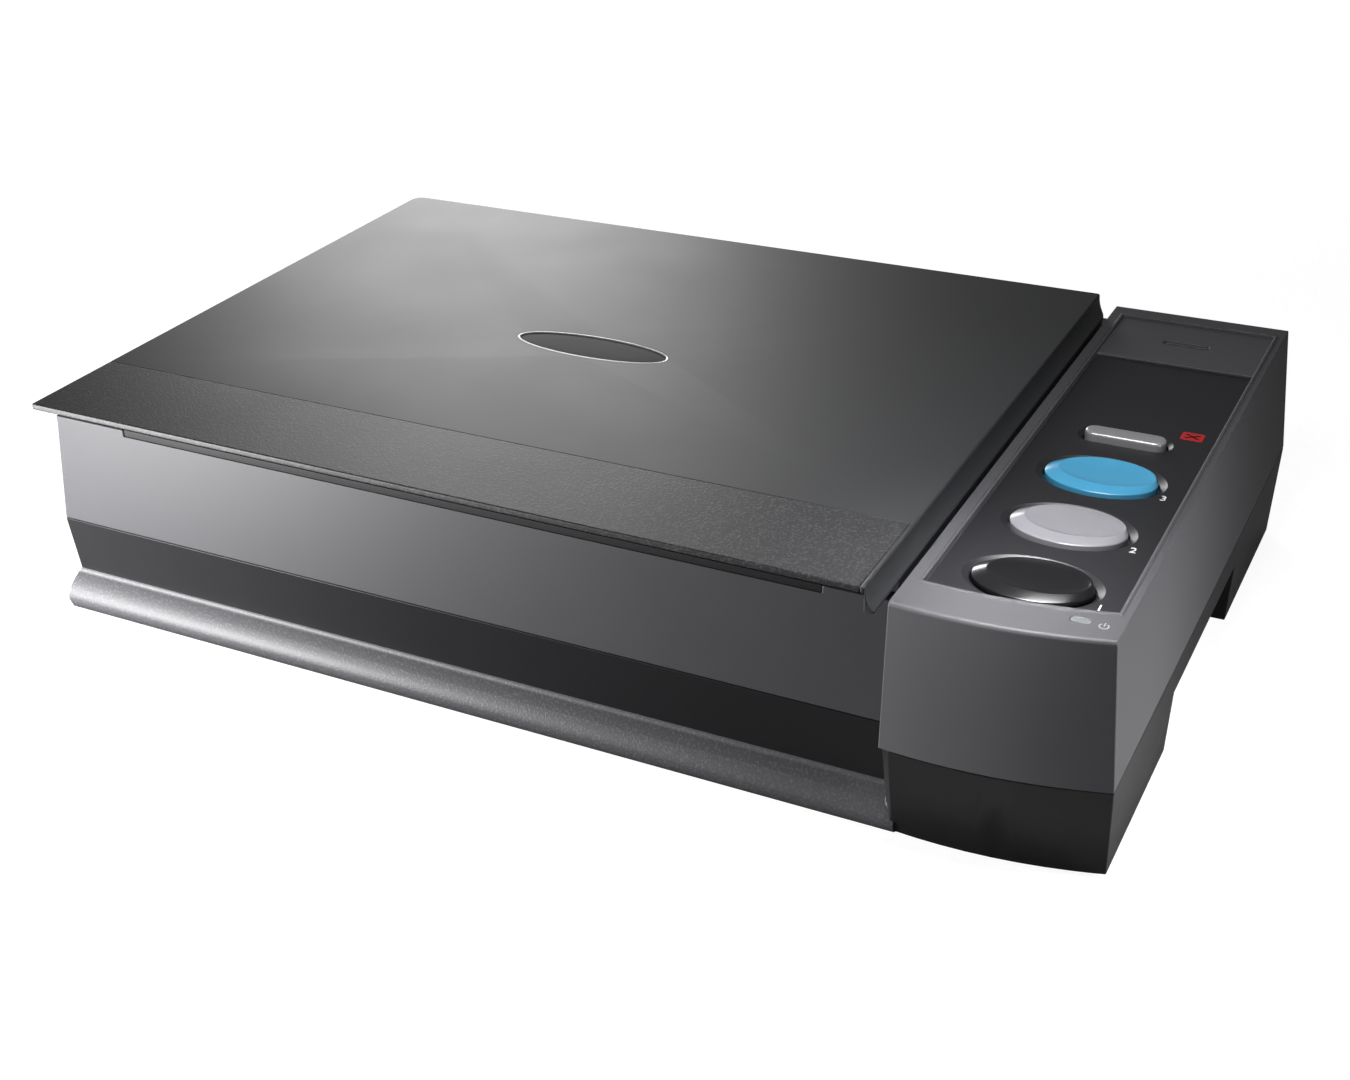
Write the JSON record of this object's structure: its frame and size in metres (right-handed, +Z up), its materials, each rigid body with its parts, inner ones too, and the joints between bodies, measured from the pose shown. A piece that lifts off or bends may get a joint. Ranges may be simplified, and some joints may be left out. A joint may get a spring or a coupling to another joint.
{
  "type": "flatbed scanner",
  "caption": "Low flatbed scanner with a lifting hinged lid, a grainy front finger flap, book-edge glass, and a raised control box of scan buttons at the right.",
  "frame": {"origin": "on the floor, under the middle of the case", "axes": "+X along the scanner to its right-hand control box, +Y to the back, +Z up"},
  "size_m": [0.453, 0.285, 0.105],
  "materials": {
    "dark_abs": "fine moulded texture",
    "gray_abs": "fine moulded texture",
    "grain_abs": "coarse moulded grain",
    "panel_black": "satin",
    "inner_abs": "plain moulded",
    "glass": "polished float glass",
    "mirror": "front-silvered glass",
    "white": "matt white",
    "foam": "open foam",
    "steel": "zinc plated",
    "silver": "satin plated",
    "brass": "turned",
    "rubber": "matt",
    "board": "solder resist",
    "acetal": "plain moulded",
    "blue": "satin",
    "light_gray": "satin",
    "black": "satin",
    "lens_clear": "frosted",
    "red": "satin"
  },
  "bodies": {
    "base": {"lower_base": "dark_abs", "upper_housing": "gray_abs", "scan_deck": "dark_abs", "control_housing": "gray_abs", "control_panel": "panel_black", "panel_cap": "gray_abs", "platen_frame": "dark_abs", "glass_plate": "glass", "calibration_strip": "white", "guide_rod": "steel", "rod_holders": "inner_abs", "support_rail": "steel", "drive_belt": "rubber", "drive_motor": "steel", "motor_bracket": "steel", "gear_axle": "steel", "idler_bracket": "steel", "tension_spring": "steel", "idler_axle": "steel", "main_board": "board", "socket_board": "board", "usb_socket": "steel", "power_jack": "black", "switch_housing": "black", "button_board": "board", "tact_switches": "steel", "status_lens": "lens_clear", "rubber_feet": "rubber", "case_screws": "steel", "board_screws": "steel", "flat_cable": "white"},
    "carriage": {"carriage_housing": "inner_abs", "bearing_blocks": "inner_abs", "carriage_cover": "inner_abs", "light_bar": "white", "mirrors": "mirror", "lens": "black", "sensor_board": "board", "rod_bushings": "brass", "glide_shoe": "acetal", "belt_clamp": "inner_abs"},
    "drive_gear": {"drive_gear": "acetal"},
    "motor_pinion": {"motor_pinion": "brass"},
    "idler_pulley": {"idler_pulley": "acetal"},
    "posts": {"hinge_posts": "steel"},
    "lid": {"hinge_pins": "steel", "lid_cover": "dark_abs", "lid_flap": "grain_abs", "lid_tray": "inner_abs", "pad_foam": "foam", "pad_sheet": "white", "badge_rim": "silver", "badge_plate": "panel_black", "hinge_ears": "inner_abs", "lid_screws": "steel"},
    "blue_button": {"button_blue": "blue"},
    "gray_button": {"button_gray": "light_gray"},
    "black_button": {"button_black": "black"},
    "cancel_button": {"button_cancel": "silver"},
    "rocker": {"power_rocker": "black"}
  },
  "joints": [
    {"name": "lid_lift", "type": "slide", "parent": "base", "child": "posts", "axis": [0, 0, 1], "range_m": [0, 0.018]},
    {"name": "lid_hinge", "type": "hinge", "parent": "posts", "child": "lid", "pos_m": [-0.032, 0.1265, 0.0975], "axis": [-1, 0, 0], "range_deg": [0, 95]},
    {"name": "carriage_travel", "type": "slide", "parent": "base", "child": "carriage", "axis": [1, 0, 0], "range_m": [0, 0.306]},
    {"name": "drive_gear_spin", "type": "hinge", "parent": "base", "child": "drive_gear", "pos_m": [0.165, 0.093, 0.012], "axis": [0, 0, 1], "continuous": true},
    {"name": "motor_pinion_spin", "type": "hinge", "parent": "base", "child": "motor_pinion", "pos_m": [0.18, 0.093, 0.017], "axis": [0, 0, 1], "continuous": true},
    {"name": "idler_spin", "type": "hinge", "parent": "base", "child": "idler_pulley", "pos_m": [-0.203, 0.093, 0.011], "axis": [0, 0, 1], "continuous": true},
    {"name": "blue_press", "type": "slide", "parent": "base", "child": "blue_button", "axis": [0, 0, -1], "range_m": [0, 0.001], "stiffness_N_per_m": 500, "springref_m": -0.001},
    {"name": "gray_press", "type": "slide", "parent": "base", "child": "gray_button", "axis": [0, 0, -1], "range_m": [0, 0.001], "stiffness_N_per_m": 500, "springref_m": -0.001},
    {"name": "black_press", "type": "slide", "parent": "base", "child": "black_button", "axis": [0, 0, -1], "range_m": [0, 0.001], "stiffness_N_per_m": 500, "springref_m": -0.001},
    {"name": "cancel_press", "type": "slide", "parent": "base", "child": "cancel_button", "axis": [0, 0, -1], "range_m": [0, 0.001], "stiffness_N_per_m": 500, "springref_m": -0.001},
    {"name": "rocker_tilt", "type": "hinge", "parent": "base", "child": "rocker", "pos_m": [0.198, 0.1375, 0.0195], "axis": [-1, 0, 0], "range_deg": [0, 16]}
  ],
  "couplings": [
    {"joint": "drive_gear_spin", "follows": "carriage_travel", "rad_per_m": 157.08},
    {"joint": "motor_pinion_spin", "follows": "carriage_travel", "rad_per_m": -628.32},
    {"joint": "idler_spin", "follows": "carriage_travel", "rad_per_m": 157.08}
  ]
}
